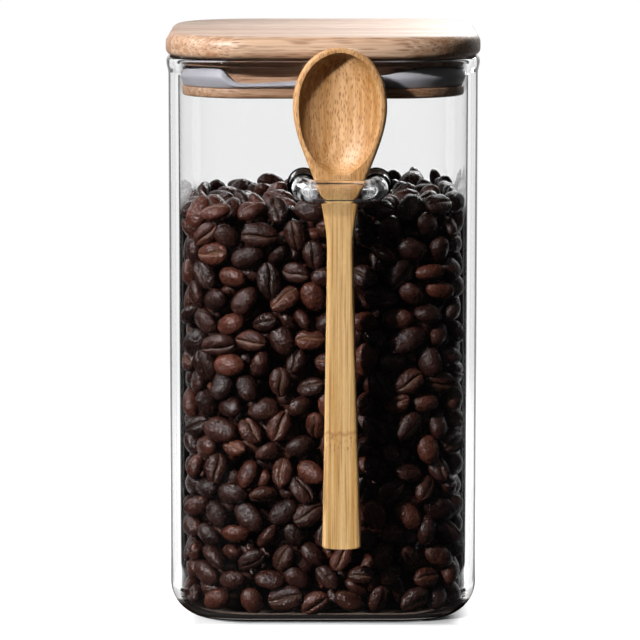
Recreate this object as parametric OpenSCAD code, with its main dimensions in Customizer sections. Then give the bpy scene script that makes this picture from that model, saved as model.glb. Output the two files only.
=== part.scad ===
// Food canister: a square glass jar with a bamboo lid, and a bamboo spoon that hangs in a glass loop.
// Millimetres, +Z up. The origin is the middle of the jar's base, and the spoon is on the -Y side.

/* [Glass jar] */
// Outer width of the jar, left to right
jar_w = 100; // [84:1:130]
// Outer depth of the jar, front to back
jar_d = 100; // [84:1:130]
// Height of the jar, from its base to its rim
jar_h = 183.3; // [170:0.1:240]
// Outer radius of the upright corners
corner_r = 27; // [20:0.5:32]
// Outer radius of the heel, where the walls turn into the base
heel_r = 11; // [8:0.5:14]
// Inner radius of the heel
heel_in_r = 5.5; // [4:0.5:8]
// Thickness of the glass wall
wall_t = 3.5; // [2.5:0.1:4.5]
// Thickness of the glass base
base_t = 3.2; // [2.5:0.1:6]
// How far the rim bead stands out from the wall
rim_bead = 0.6; // [0.3:0.05:1]
// Height of the rim bead
rim_h = 4; // [3:0.1:6]
// Rounding of the fire-polished rim
rim_r = 1.1; // [0.5:0.1:1.4]

/* [Spoon loop] */
// Height of the loop's feet above the base
loop_z = 144.4; // [125:0.1:150]
// Distance of the loop from the middle of the front wall
loop_x = 5.3; // [-6:0.1:6]
// Diameter of the glass rod
rod_d = 7.4; // [6:0.1:8.4]
// Diameter of the fused foot at the wall
foot_d = 9; // [8.8:0.1:11]
// Length over which the foot flares
foot_l = 4; // [3:0.1:6]
// Radius of the rod's centre line at the two bends
bend_r = 6; // [5.2:0.1:8]
// Angle by which the loop droops towards its front bar
loop_droop = 5; // [0:0.5:8]

/* [Lid] */
// How far the lid board overhangs the jar wall
lid_over = 0.8; // [0.3:0.1:2]
// Thickness of the lid board
board_t = 7.4; // [6.2:0.1:12]
// Rounding of the board's top edge
board_top_r = 3.4; // [1.5:0.1:3.6]
// Rounding of the board's lower edge
board_low_r = 2.2; // [1:0.1:2.4]
// Number of laths glued edge to edge
laths = 4; // [4:1:4]
// Width of the front lath
front_lath_w = 17.3; // [12:0.1:24]
// Width of the laths behind it, apart from the last, which takes what is left
lath_w = 27.3; // [20:0.1:29]
// Depth of the plug below the board
plug_t = 12.5; // [10:0.1:16]
// Clearance between the plug and the glass, all round
plug_gap = 1; // [0.6:0.1:1.6]
// Thickness of the flange below the seal
flange_t = 3.1; // [2:0.1:4]
// Rounding of the flange's lower edge
flange_r = 0.8; // [0.3:0.1:1.4]
// Height of the groove that holds the seal
groove_h = 6.3; // [4:0.1:7]
// Depth of the groove that holds the seal
groove_d = 2.6; // [1.8:0.1:3.5]

/* [Seal] */
// How far the seal's middle bulges beyond its edges
seal_crown = 1.2; // [0.6:0.1:1.6]
// Clearance above and below the seal in its groove
seal_play = 0.1; // [0.05:0.05:0.3]

/* [Spoon] */
// Length of the spoon
spoon_l = 160; // [140:1:175]
// Length of the spoon above the feet of the loop
spoon_above = 43.8; // [38:0.1:46]
// Width of the bowl
bowl_w = 29.7; // [24:0.1:34]
// Length from the tip to the widest part of the bowl
bowl_up = 18.8; // [15:0.1:24]
// Depth of the bowl's back, from the rim
bowl_d = 8.4; // [7.4:0.1:11]
// Depth of the hollow
hollow_d = 6.2; // [4.6:0.1:6.4]
// Length from the tip to the lower end of the hollow
hollow_l = 40; // [34:0.1:42]
// Width of the rim round the hollow
spoon_rim = 1.8; // [1.2:0.1:2.5]
// Length from the widest part of the bowl to the neck
taper_l = 41.4; // [38:0.1:48]
// Width of the neck
neck_w = 8.2; // [7:0.1:10]
// Width of the handle at its end
end_w = 12.4; // [10:0.1:14]
// Length over which the bowl's back runs into the handle
back_l = 27; // [25:0.5:32]
// Thickness of the handle
handle_t = 4.6; // [3.6:0.1:6]
// Rounding of the handle's end, seen from the front
end_r = 2; // [1:0.1:3]
// Rounding of the edges
edge_r = 1.2; // [0.8:0.1:1.5]

/* [Contents] */
// Height of the filling above the base, in the middle
fill_h = 138.6; // [60:0.1:150]
// Slope of the filling's top, from left to right, in degrees
fill_slope = 1.8; // [0:0.1:3]
// Length of a bean
bean_l = 11; // [10:0.1:13]
// Width of a bean
bean_w = 7.6; // [7:0.1:9]
// Thickness of a bean
bean_t = 5.4; // [4.5:0.1:6]

/* [Clearances] */
// Gap between the lid board and the rim, and between the spoon and the lid board
seat_gap = 0.3; // [0.2:0.05:0.5]
// Gap between the glass and what is inside it
glass_gap = 0.3; // [0.2:0.05:0.5]
// Gap between the spoon's front and the loop's bar
bar_gap = 0.4; // [0.3:0.05:0.8]
// Gap between the spoon's sides and the arms of the loop, at the height of its feet
side_gap = 0.4; // [0.3:0.05:0.8]
// Gap between the bowl's back and the lid board
lean_gap = 0.8; // [0.5:0.05:1.5]

/* [Hidden] */
$fn = 96;

// Every horizontal section is a rounded rectangle with these corner centres,
// so a profile's x is the distance from a corner centre, along X or along Y.
corner_x = jar_w / 2 - corner_r;
corner_y = jar_d / 2 - corner_r;
inner_x = corner_r - wall_t;
plug_x = inner_x - plug_gap;
groove_x = plug_x - groove_d;
seal_x = inner_x - glass_gap;
front_y = -jar_d / 2;
board_z = jar_h + seat_gap;
plug_z = board_z - plug_t;
front_seam = front_y - lid_over + front_lath_w;
groove_z = plug_z + flange_t;
past = 200; // longer than anything that it cuts

rod_r = rod_d / 2;
neck_s = bowl_up + taper_l;
// The loop stands off far enough for the bowl to pass in front of the lid
spoon_y = front_y - lid_over - lean_gap - bowl_d;
loop_reach = front_y - spoon_y + bar_gap + rod_r;
loop_inner = 2 * (spoon_half(spoon_above) + side_gap);
arm_x = loop_inner / 2 + rod_r;
spoon_tip_z = loop_z + spoon_above;

glass = [0.86, 0.92, 0.92, 0.4];
bamboo = "#d9b283";
bamboo_dark = "#c99a63";
silicone = [0.72, 0.72, 0.76, 0.8];
coffee = "#2e1b14";

// Cuts the corner at p back to a quarter circle.
// q is 0 for an upper right corner, then 1, 2 and 3 anticlockwise.
module round_corner(p, r, q) {
    inward = [[-1, -1], [1, -1], [1, 1], [-1, 1]][q];
    translate(p + r * inward)
        difference() {
            rotate(90 * q) square(r + 1);
            circle(r);
        }
}

// Sweeps a profile round the rounded rectangle, with quarter turns at its corners.
module sweep_round() {
    for (q = [0:3]) {
        c = q % 2 == 0 ? [corner_x, corner_y] : [corner_y, corner_x];
        rotate(90 * q) translate([c.x, c.y, 0]) {
            rotate_extrude(angle = 90) children();
            rotate([90, 0, 0]) linear_extrude(2 * c.y) children();
        }
    }
}

// Fills the middle of the rounded rectangle from height low to height high.
module middle(low, high) {
    translate([-corner_x, -corner_y, low]) cube([2 * corner_x, 2 * corner_y, high - low]);
}

module jar_profile() {
    difference() {
        union() {
            square([corner_r, jar_h]);
            translate([0, jar_h - rim_h]) square([corner_r + rim_bead, rim_h]);
        }
        translate([0, base_t])
            difference() {
                translate([-1, 0]) square([inner_x + 1, jar_h]);
                round_corner([inner_x, 0], heel_in_r, 3);
            }
        round_corner([corner_r, 0], heel_r, 3);
        round_corner([corner_r + rim_bead, jar_h], rim_r, 0);
        round_corner([inner_x, jar_h], rim_r, 1);
        round_corner([corner_r + rim_bead, jar_h - rim_h], rim_bead, 3);
    }
}

module glass_jar() {
    color(glass) {
        sweep_round() jar_profile();
        middle(0, base_t);
    }
}

// Half section of one arm of the loop: the flared foot starts inside the wall.
module arm_profile(root, length) {
    flare = foot_d / 2 - rod_r;
    flare_r = (flare * flare + foot_l * foot_l) / (2 * flare);
    square([rod_r, root + length]);
    difference() {
        square([foot_d / 2, root + foot_l]);
        translate([rod_r + flare_r, root + foot_l]) circle(flare_r);
    }
}

module spoon_loop() {
    $fn = 48;
    root = 3; // how far the arms start behind the wall's face
    straight = loop_reach - bend_r;
    bar = arm_x - bend_r;
    color(glass)
        difference() {
            translate([loop_x, front_y, loop_z]) rotate([loop_droop, 0, 0]) {
                for (side = [-1, 1]) {
                    // Each round face starts on the outside of the loop, so that the faces meet in line
                    translate([side * arm_x, root, 0]) rotate([90, 0, 0]) rotate(side > 0 ? 0 : 180)
                        rotate_extrude() arm_profile(root, straight);
                    translate([side * bar, -straight, 0]) rotate(side > 0 ? -90 : 180)
                        rotate_extrude(angle = 90) translate([bend_r, 0]) circle(rod_r);
                }
                translate([-bar, -loop_reach, 0]) rotate([90, 0, 90]) rotate(180)
                    cylinder(r = rod_r, h = 2 * bar);
            }
            translate([loop_x - past / 2, front_y, loop_z - past / 2]) cube(past);
        }
}

// The outer beans lie in rings: over the top, along its edge and down the walls, each moved and
// turned a little by chance. The mesh over them is a triangular lattice in which every third
// point both ways is a bean's crown, the six points round it are its shoulders, and the points
// that are left lie in the valleys. u runs round the filling, along the middles of the beans.
crown_rings = 5; // rings of beans over the top, the one along its edge included
edge_ring = 3 * crown_rings;
around = 6 * edge_ring;
floor_z = base_t + glass_gap;
fill_x = inner_x - glass_gap;
fill_heel = heel_in_r - glass_gap;
rows = round((fill_h - floor_z) / (0.98 * bean_w));
last_ring = edge_ring + 3 * rows;
quarter = PI / 2 * (fill_x - bean_t / 2);
side_l = 2 * corner_x + quarter;
half_lap = side_l + 2 * corner_y + quarter;
step = 2 * half_lap / around;
scatter = 0.3; // how far chance moves a bean, as a share of the spacing

// A number from 0 to 1 that looks random but is the same at every build.
function chance(i, j, k) =
    let (n = 43758.5453 * sin(12.9898 * i + 78.233 * j + 37.719 * k)) n - floor(n);
function swing(i, j, k) = scatter * (chance(i, j, k) - 0.5);
function top_z(x) = fill_h + x * tan(fill_slope);

// Corner centre, or point of the line between two of them, and outward angle at length u.
function half_spot(u) =
    u < quarter ? [corner_x, corner_y, 90 * u / quarter]
    : u < side_l ? [corner_x - (u - quarter), corner_y, 90]
    : u < side_l + quarter ? [-corner_x, corner_y, 90 + 90 * (u - side_l) / quarter]
    : [-corner_x, corner_y - (u - side_l - quarter), 180];
function spot(u) =
    let (v = (u + 2 * half_lap) % (2 * half_lap))
    v < half_lap ? half_spot(v)
    : let (p = half_spot(v - half_lap)) [-p.x, -p.y, p.z + 180];
function at_wall(u, z, depth) =
    let (p = spot(u), reach = fill_x - depth) [p.x + reach * cos(p.z), p.y + reach * sin(p.z), z];

// A bean as its middle, its outward direction and the direction of its length.
function laid_bean(middle, out, side, turn) =
    [middle, out, cos(turn) * side + sin(turn) * cross(out, side)];
function top_bean(m, k) =
    let (along = m == 0 ? 0 : 2 * half_lap * k / (6 * m),
         p = at_wall(along, 0, 0.6 * bean_t) * m / edge_ring
             + 3 * step * [swing(m, k, 5), swing(m, k, 6), 0],
         depth = bean_t * (0.55 + 0.35 * chance(m, k, 7)))
    laid_bean([p.x, p.y, top_z(p.x) - depth], [0, 0, 1], [1, 0, 0], 180 * chance(m, k, 8));
function wall_bean(r, k) =
    let (c = (k + around) % around,
         u = (k + r / 2 + 3 * swing(r, c, 1)) * step,
         a = spot(u).z,
         rise = r == 0 ? 40 : 0,
         depth = bean_t * (0.53 + 0.2 * chance(r, c, 3)),
         high = top_z(at_wall(u, 0, 0).x) - 0.6 * bean_t,
         low = floor_z + fill_heel,
         z = high + (low - high) * (r / 3 + (r == 0 ? 0 : swing(r, c, 2))) / rows)
    laid_bean(at_wall(u, z, depth), [cos(a) * cos(rise), sin(a) * cos(rise), sin(rise)],
              [-sin(a), cos(a), 0], 180 * chance(r, c, 4));

// The bean at lattice place [x, y]: of one of the top's six sectors, or of the walls below it.
function lattice_bean(sector, x, y) =
    sector < 0 ? wall_bean(y, x)
    : let (m = x + y) m < edge_ring ? top_bean(m, sector * m + y) : wall_bean(0, sector * m + y);

function crown_of(bean) = bean[0] + 0.46 * bean_t * bean[1];
// A bean's shoulder on the way to its neighbour, inside the bean's outline.
function shoulder(bean, neighbour) =
    let (way = neighbour[0] - bean[0],
         apart = norm(way),
         along = way * bean[2] / apart,
         outline = 1 / sqrt(pow(2 * along / bean_l, 2) + (1 - along * along) * pow(2 / bean_w, 2)),
         reach = min(0.45 * apart, 0.84 * outline))
    bean[0] + way * reach / apart + bean_t / 2 * sqrt(1 - pow(reach / outline, 2)) * bean[1];
function valley(a, b, c) = (a[0] + b[0] + c[0]) / 3;

// Point k of ring m of the mesh.
function mesh_point(m, k) =
    let (on_top = m <= edge_ring,
         sector = !on_top ? -1 : m == 0 ? 0 : floor(k / m),
         y = !on_top ? m - edge_ring : m == 0 ? 0 : k % m,
         x = !on_top ? k : m - y,
         dx = [0, 1, -1][x % 3],
         dy = [0, 1, -1][y % 3],
         bean = lattice_bean(sector, x - dx, y - dy))
    dx == 0 && dy == 0 ? crown_of(bean)
    : dx == dy ? valley(bean, lattice_bean(sector, x + 2 * dx, y - dy),
                        lattice_bean(sector, x - dx, y + 2 * dy))
    : shoulder(bean, lattice_bean(sector, x + 2 * dx, y + 2 * dy));

module coffee_beans() {
    shrink = 1 - cos(45); // the heel's arc halfway round
    laps = [for (k = [0:around - 1]) (k + 1.5 * rows) * step];
    top_and_walls = [for (m = [0:last_ring])
        [for (k = [0:max(1, 6 * min(m, edge_ring)) - 1]) mesh_point(m, k)]];
    heel = [for (u = laps)
        at_wall(u, floor_z + shrink * fill_heel, shrink * fill_heel)];
    rim = [for (u = laps) at_wall(u, floor_z, fill_heel)];
    rings = concat(top_and_walls, [heel, rim]);
    points = concat([for (ring = rings) each ring], [[0, 0, floor_z]]);
    last = len(rings) - 1;
    first = [for (m = 0, n = 0; m <= last; n = n + len(rings[m]), m = m + 1) n];
    // Index of point k of ring m, where k may run past the ring's end
    function at(m, k) = first[m] + k % len(rings[m]);
    function tip(m, sector, y) = at(m, sector * m + y);
    top = [for (m = [0:edge_ring - 1], sector = [0:5])
        each concat(
            [for (y = [0:m])
                [tip(m, sector, y), tip(m + 1, sector, y + 1), tip(m + 1, sector, y)]],
            [for (y = [0:1:m - 1])
                [tip(m, sector, y), tip(m, sector, y + 1), tip(m + 1, sector, y + 1)]])];
    walls = [for (m = [edge_ring:last - 1], k = [0:around - 1])
        each [[at(m, k), at(m, k + 1), at(m + 1, k)],
              [at(m + 1, k), at(m, k + 1), at(m + 1, k + 1)]]];
    base = [for (k = [0:around - 1]) [at(last, k), at(last, k + 1), len(points) - 1]];
    color(coffee) polyhedron(points, concat(top, walls, base), convexity = 10);
}

module board_profile() {
    edge = corner_r + lid_over;
    difference() {
        square([edge, board_t]);
        round_corner([edge, board_t], board_top_r, 0);
        round_corner([edge, 0], board_low_r, 3);
    }
}

module plug_profile() {
    difference() {
        square([plug_x, plug_t]);
        translate([groove_x, flange_t]) square([groove_d + 1, groove_h]);
        round_corner([plug_x, 0], flange_r, 3);
    }
}

// The slice of the lid that lath n takes, counted from the front.
module lath_slice(n) {
    low = n == 1 ? -past / 2 : front_seam + (n - 2) * lath_w;
    high = n == laths ? past / 2 : front_seam + (n - 1) * lath_w;
    translate([-past / 2, low, plug_z - past / 2]) cube([past, high - low, past]);
}

module board_lath(n) {
    color(n % 2 == 0 ? bamboo_dark : bamboo)
        intersection() {
            translate([0, 0, board_z]) {
                sweep_round() board_profile();
                middle(0, board_t);
            }
            lath_slice(n);
        }
}

module plug_lath(n) {
    color(n % 2 == 0 ? bamboo : bamboo_dark)
        intersection() {
            translate([0, 0, plug_z]) {
                sweep_round() plug_profile();
                middle(0, plug_t);
            }
            lath_slice(n);
        }
}

// Silicone band, fat in the middle, that fills the groove and reaches the glass.
module seal_ring() {
    seal_h = groove_h - 2 * seal_play;
    crown_r = (seal_crown * seal_crown + seal_h * seal_h / 4) / (2 * seal_crown);
    color(silicone)
        translate([0, 0, groove_z + seal_play])
            sweep_round()
                intersection() {
                    translate([groove_x, 0]) square([seal_x - groove_x, seal_h]);
                    translate([seal_x - crown_r, seal_h / 2]) circle(crown_r);
                }
}

// The spoon is lofted through sections at distances s below its tip.
function arch(t, n) = pow(max(0, 1 - pow(abs(t), n)), 1 / n);
function ease(t) = (1 + cos(180 * min(1, max(0, t)))) / 2;

// Half of the spoon's width, without the rounding of the handle's end.
function plain_half(s) =
    s < bowl_up ? bowl_w / 2 * arch((bowl_up - s) / bowl_up, 2.12)
    : s < neck_s ? neck_w / 2 + (bowl_w - neck_w) / 2 * ease(pow((s - bowl_up) / taper_l, 0.93))
    : neck_w / 2 + (end_w - neck_w) / 2 * pow((s - neck_s) / (spoon_l - neck_s), 1.15);
function end_cut(s) = end_r * (1 - arch(max(0, s - (spoon_l - end_r)) / end_r, 2));
function spoon_half(s) = plain_half(s) - end_cut(s);

// Distance from the front face to the back, in the middle of the section.
function spoon_depth(s) =
    s < bowl_up ? edge_r + (bowl_d - edge_r) * arch((bowl_up - s) / bowl_up, 2.4)
    : handle_t + (bowl_d - handle_t) * ease((s - bowl_up) / back_l);

// Half of the hollow's width.
function hollow_half(s) =
    (bowl_w / 2 - spoon_rim) * (s < bowl_up ? arch((bowl_up - s) / (bowl_up - spoon_rim), 2.12)
                                            : arch((s - bowl_up) / (hollow_l - bowl_up), 2));

function spoon_slope(s) = (spoon_half(s + 0.05) - spoon_half(max(0, s - 0.05))) / 0.1;
// Distance of a point from the outline, square to it.
function inset(x, s) = (spoon_half(s) - abs(x)) / sqrt(1 + pow(spoon_slope(s), 2));
function rounding(d) = d >= edge_r ? 0 : edge_r - sqrt(max(0, edge_r * edge_r - pow(edge_r - d, 2)));
function hollow_at(x, s) =
    let (h = hollow_half(s))
    abs(x) >= h ? 0
    : hollow_d * pow(h / (bowl_w / 2 - spoon_rim), 0.9) * pow(1 - pow(x / h, 2), 0.85);
function front_at(x, s) = rounding(inset(x, s)) + hollow_at(x, s);
function back_at(x, s) =
    let (n = 2.2 + 1.2 * (1 - ease((s - bowl_up) / taper_l)))
    edge_r + (spoon_depth(s) - edge_r) * arch(x / spoon_half(s), n);

across = 12; // steps across the hollow
rim_steps = 3; // steps over each side of the rim
round_back = 16; // steps round the back
function spoon_section(s) =
    let (half = spoon_half(s), inner = min(half - 0.9 * edge_r, max(hollow_half(s), 0.45 * half)))
    concat(
        [for (i = [0:rim_steps - 1]) half - (half - inner) * (1 - cos(90 * i / rim_steps))],
        [for (i = [0:across]) inner * cos(180 * i / across)],
        [for (i = [rim_steps - 1:-1:0]) -half + (half - inner) * (1 - cos(90 * i / rim_steps))]);
function spoon_ring(s) =
    concat(
        [for (x = spoon_section(s)) [x, front_at(x, s), -s]],
        [for (i = [1:round_back - 1])
            let (x = -spoon_half(s) * cos(180 * i / round_back)) [x, back_at(x, s), -s]]);

function steps(low, high, n) = [for (i = [1:n]) low + (high - low) * i / n];
stations = concat(
    [for (i = [1:12]) bowl_up * (1 - cos(90 * i / 12))],
    steps(bowl_up, hollow_l, 15),
    steps(hollow_l, neck_s, 8),
    steps(neck_s, spoon_l - end_r, 9),
    [for (i = [1:5]) spoon_l - end_r * (1 - sin(90 * i / 5))]);

module spoon() {
    rings = [for (s = stations) spoon_ring(s)];
    n = len(rings[0]);
    last = len(rings) - 1;
    tip = [0, edge_r, 0];
    points = concat([tip], [for (ring = rings) each ring]);
    faces = concat(
        [for (k = [0:n - 1]) [0, 1 + k, 1 + (k + 1) % n]],
        [for (i = [0:last - 1], k = [0:n - 1])
            let (a = 1 + i * n + k, b = 1 + i * n + (k + 1) % n) each [[a, a + n, b], [b, a + n, b + n]]],
        [[for (k = [n - 1:-1:0]) 1 + last * n + k]]);
    color(bamboo_dark)
        translate([loop_x, spoon_y, spoon_tip_z]) polyhedron(points, faces, convexity = 6);
}

glass_jar();
spoon_loop();
coffee_beans();
board_lath(1);  // board_lath_1
board_lath(2);  // board_lath_2
board_lath(3);  // board_lath_3
board_lath(4);  // board_lath_4
plug_lath(1);  // plug_lath_1
plug_lath(2);  // plug_lath_2
plug_lath(3);  // plug_lath_3
plug_lath(4);  // plug_lath_4
seal_ring();
spoon();
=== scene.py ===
"""Looks of the food canister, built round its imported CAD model.

A square glass jar of roasted coffee with a laminated bamboo lid, a silicone seal, a glass loop
fused to its front and a bamboo spoon in the loop. Sizes are in millimetres, and the lengths in
materials, lamps and the camera are in metres.
"""

import math

import bmesh
import bpy
import numpy as np
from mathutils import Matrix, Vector

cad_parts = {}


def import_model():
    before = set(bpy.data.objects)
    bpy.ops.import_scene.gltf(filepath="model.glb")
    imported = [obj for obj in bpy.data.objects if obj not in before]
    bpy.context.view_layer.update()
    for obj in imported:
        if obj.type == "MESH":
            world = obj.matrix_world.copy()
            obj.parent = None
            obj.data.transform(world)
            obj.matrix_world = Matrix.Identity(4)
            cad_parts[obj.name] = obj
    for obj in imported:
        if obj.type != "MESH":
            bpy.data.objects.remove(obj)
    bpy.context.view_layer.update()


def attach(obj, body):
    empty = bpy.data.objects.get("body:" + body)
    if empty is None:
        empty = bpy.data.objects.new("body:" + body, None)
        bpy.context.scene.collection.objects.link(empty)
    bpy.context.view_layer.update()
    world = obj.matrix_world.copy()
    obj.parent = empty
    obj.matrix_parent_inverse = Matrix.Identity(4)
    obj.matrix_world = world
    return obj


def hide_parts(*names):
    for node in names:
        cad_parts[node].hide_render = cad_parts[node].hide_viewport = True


MM = 0.001

# Jar
JAR_HALF = 50.0
JAR_H = 183.3
CORNER_R = 27.0
CORNER = JAR_HALF - CORNER_R  # corner centres stand at +-CORNER
QUARTERS = ((1, 1), (-1, 1), (-1, -1), (1, -1))
HEEL_R = 11.0
HEEL_IN_R = 5.5
WALL = 3.5
BASE = 3.2
RIM_BEAD = 0.6
RIM_H = 4.0
RIM_R = 1.1
PUSH_UP = 0.6  # hollow under the base
STAND_IN = 13.5  # from the corner centres out to the ring it stands on

# Loop
LOOP_Z = 144.4
LOOP_X = 5.3
ROD_R = 3.7
FOOT_R = 4.5
FOOT_L = 4.0
BEND_R = 6.0
LOOP_PLAY = 0.4  # between the rod and the spoon
FOOT_MELT = 0.7  # what the foot gains in radius as it melts into the wall
FOOT_SINK = 0.5
DROOP = math.radians(5.0)

# Lid and seal
LID_OVER = 0.8
BOARD_Z = 183.6
BOARD_T = 7.4
PLUG_Z = 171.1
PLUG_T = 12.5
PLUG_X = 22.5
GROOVE_X = 19.9
GROOVE_LOW = 3.1
GROOVE_HIGH = 9.9
SEAL_LOW = 174.3
SEAL_HIGH = 180.9
SEAL_X = 23.2
SEAL_SLANT = 1.2
SEAL_FRONT = 40.0  # the seal sags where it is this far in front of the jar's middle
SEAMS = (-33.5, -6.2, 21.1)
LATH_EASE = 0.14
# Places along X at the front, and the share of its height that the seal's upper edge sags there
SAG_X = (-32.8, -31.6, -30.5, -29.2, -27.5, -24.0, -19.7, -8.6, 6.0, 14.0, 20.6, 24.0, 28.0, 33.0)
SAG = (0.0, 0.10, 0.34, 0.60, 0.72, 0.76, 0.74, 0.64, 0.52, 0.41, 0.26, 0.14, 0.04, 0.0)

# Spoon
SPOON_L = 160.0
SPOON_ABOVE = 43.8
BOWL_W = 29.7
BOWL_UP = 18.8
BOWL_D = 8.4
HOLLOW_D = 6.2
HOLLOW_L = 40.0
SPOON_RIM = 1.8
TAPER_L = 41.4
NECK_S = BOWL_UP + TAPER_L
NECK_W = 8.2
END_W = 12.4
BACK_L = 27.0
HANDLE_T = 4.6
END_R = 1.1
EDGE_R = 1.2
SPOON_Y = -60.0
SPOON_TIP_Z = LOOP_Z + SPOON_ABOVE
NODE_Z = 65.5  # height of the bamboo's node in the handle
FULLER = (54.0, 6.0, 0.5)  # middle, reach and depth of the swell where the loop holds the taper
RUN_OFF = 0.62  # how far the handle's end runs off true
RUN_OFF_S = 45.0  # where that starts

# Contents
FILL_HALF = 46.3
FILL_LOW = 3.5
FILL_HEEL = 5.2
FILL_TOP = 138.6
FILL_SLOPE = 0.0314
BEAN = (11.0, 7.6, 5.4)
BEAN_ROWS = 15
BEAN_DOME = 9  # points over the back of a bean's row
BEAN_FACE = (-1.0, -0.86, -0.52, -0.22, -0.09, 0.0, 0.09, 0.22, 0.52, 0.86, 1.0)  # across its face
FACE_OUT = 0.38  # share of the outer beans that turn their creased face to the glass
SHELL = 13.0  # depth of the beans that are modelled, in from the glass
CORE_HALF = FILL_HALF - SHELL
CORE_LOW = FILL_LOW + SHELL * 0.8
CORE_HIGH = FILL_TOP - SHELL
CROWN_RINGS = 5  # rings of beans over the top
WALL_RINGS = 19  # rings of beans down the walls, the top's edge included

# Looks: tints, and the metres between which a look comes or goes
GLASS_TINT = (0.98, 0.982, 0.982)
CLEAR_TINT = (0.87, 0.875, 0.88)  # of what passes straight through
# colour of the painted brown reflection of the coffee in the heel, and the heights where it starts
# and stops
HEEL_COFFEE_REFLECTION = (0.40, 0.30, 0.25)
HEEL_REFLECTION_FROM = (0.0010, 0.0022)
HEEL_REFLECTION_TO = (0.0035, 0.0085)
GROUND_TO = (0.0008, 0.0015)
# how high the painted dark reflection of the coffee in the wall reaches
COFFEE_REFLECTION_TO = (0.131, 0.138)
# where the painted white streaks on the loop, which stand in for reflections, reach
PAINTED_STREAKS_BESIDE = (0.0068, 0.0093)  # from the middle of the loop's bar
PAINTED_STREAKS_BEFORE = (0.055, 0.059)  # from the jar's middle to the front
BOWL_FROM = (0.132, 0.152)
FLOOR_HALF = 4.0


def clamp01(t):
    return np.clip(t, 0.0, 1.0)


def smooth(t):
    t = clamp01(t)
    return t * t * (3.0 - 2.0 * t)


# ------------ meshes


def add_object(name, data):
    thing = bpy.data.objects.new(name, data)
    bpy.context.scene.collection.objects.link(thing)
    return thing


def add_mesh(name, points, faces, material, normals=None):
    """A smooth mesh object from points in millimetres."""
    mesh = bpy.data.meshes.new(name)
    mesh.from_pydata((np.asarray(points, float) * MM).tolist(), [], faces)
    mesh.validate()
    mesh.shade_smooth()
    if normals is not None:
        mesh.normals_split_custom_set_from_vertices(np.asarray(normals, float).tolist())
    mesh.materials.append(material)
    return add_object(name, mesh)


def float_attribute(thing, name, values):
    """values are one for each point, or one for all of them."""
    layer = thing.data.attributes.new(name, "FLOAT", "POINT")
    layer.data.foreach_set("value", np.full(len(thing.data.vertices), values, np.float32))


def place(thing, body, node):
    """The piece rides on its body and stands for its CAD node."""
    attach(thing, body)
    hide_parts(node)


def tube_faces(rings, per, first=0, flip=False):
    """Quads between neighbouring rings of points, which are numbered from first on."""
    faces = []
    for r in range(rings - 1):
        a, b = first + r * per, first + (r + 1) * per
        for k in range(per):
            m = (k + 1) % per
            face = [a + k, a + m, b + m, b + k]
            faces.append([face[0], *face[:0:-1]] if flip else face)
    return faces


def capped_tube(rings, per):
    ends = [list(range(per))[::-1], list(range((rings - 1) * per, rings * per))]
    return tube_faces(rings, per) + ends


def rounded(corners, closed):
    """Points and outward normals of an anticlockwise outline with rounded corners.

    corners holds (x, z, radius, steps). An open outline keeps its two ends sharp.
    """
    count = len(corners)
    points, normals = [], []
    for i, (x, z, radius, steps) in enumerate(corners):
        here = np.array([x, z], float)
        before = np.array(corners[(i - 1) % count][:2], float) - here
        after = np.array(corners[(i + 1) % count][:2], float) - here
        before /= np.linalg.norm(before)
        after /= np.linalg.norm(after)
        if not closed and i in (0, count - 1):
            way = after if i == 0 else -before
            points.append(here)
            normals.append(np.array([way[1], -way[0]]))
            continue
        turn = math.acos(float(np.clip(-before @ after, -1, 1)))
        hand = np.sign(-before[0] * after[1] + before[1] * after[0]) or 1.0
        reach = radius * math.tan(turn / 2)
        first = here + before * reach
        inward = np.array([before[1], -before[0]]) * hand
        centre = first + inward * radius
        for k in range(steps + 1):
            angle = turn * k / steps * hand
            spoke = first - centre
            c, s = math.cos(angle), math.sin(angle)
            ray = np.array([spoke[0] * c - spoke[1] * s, spoke[0] * s + spoke[1] * c])
            points.append(centre + ray)
            normals.append(ray / radius * hand)
    return np.array(points), np.array(normals)


def stations(corner_steps, wall_steps):
    """Base points and directions round the rounded square, from the right-hand corner on."""
    bases, ways = [], []
    centres = CORNER * np.array(QUARTERS)
    for q in range(4):
        for i in range(corner_steps + 1):
            angle = math.radians(90 * (q + i / corner_steps))
            bases.append(centres[q])
            ways.append((math.cos(angle), math.sin(angle)))
        here, there = centres[q], centres[(q + 1) % 4]
        for i in range(1, wall_steps):
            bases.append(here + (there - here) * i / wall_steps)
            ways.append(ways[-1])
    return np.array(bases), np.array(ways)


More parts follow.
